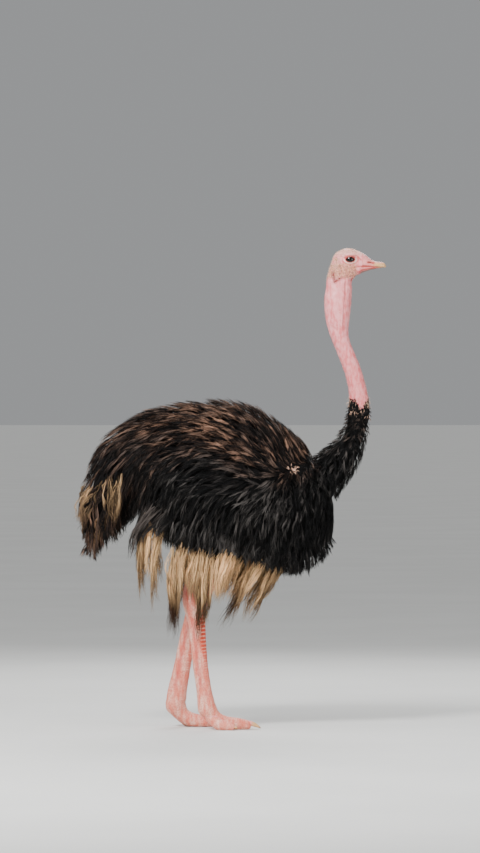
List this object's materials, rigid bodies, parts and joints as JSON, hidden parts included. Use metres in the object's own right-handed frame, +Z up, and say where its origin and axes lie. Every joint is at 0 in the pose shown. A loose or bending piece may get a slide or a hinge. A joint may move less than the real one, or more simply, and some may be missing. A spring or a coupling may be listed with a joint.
{
  "type": "standing ostrich",
  "caption": "Life-size adult male ostrich, standing in mid step with its neck raised, its black wings folded and pale plumes hanging over the thighs.",
  "frame": {"origin": "on the floor, under the centre of the bird's box", "axes": "+X forward, the way the bird faces; +Y to its left; +Z up"},
  "size_m": [1.349, 0.6462, 2.1101],
  "materials": {
    "back_plumage": "soft dark brown plumage, reddish brown where the light catches it",
    "wing_plumage": "soft black plumage with a cool grey sheen",
    "pale_plumage": "loose pale tan plumes with dark brown tips",
    "skin": "bare pink skin, finely wrinkled",
    "leg_skin": "pink scaled skin with coral scutes on the front",
    "horn": "satin yellowish horn",
    "eye": "wet, very dark brown"
  },
  "bodies": {
    "root": {"trunk": "back_plumage", "tail": "back_plumage", "tail_plumes": "pale_plumage", "wing_right": "wing_plumage", "wing_left": "wing_plumage", "wing_plumes_right": "pale_plumage", "wing_plumes_left": "pale_plumage", "belly_plumes": "pale_plumage", "thigh_plumes_right": "pale_plumage", "thigh_plumes_left": "pale_plumage", "neck_base": "wing_plumage", "neck_middle": "skin", "neck_upper": "skin", "head": "skin", "ear_right": "pale_plumage", "ear_left": "pale_plumage", "eye_right": "eye", "eye_left": "eye", "upper_bill": "horn", "lower_bill": "horn", "thigh_right": "leg_skin", "thigh_left": "leg_skin", "shank_right": "leg_skin", "shank_left": "leg_skin", "third_toe_right": "leg_skin", "third_toe_left": "leg_skin", "fourth_toe_right": "leg_skin", "fourth_toe_left": "leg_skin", "third_claw_right": "horn", "third_claw_left": "horn", "fourth_claw_right": "horn", "fourth_claw_left": "horn"}
  },
  "joints": []
}
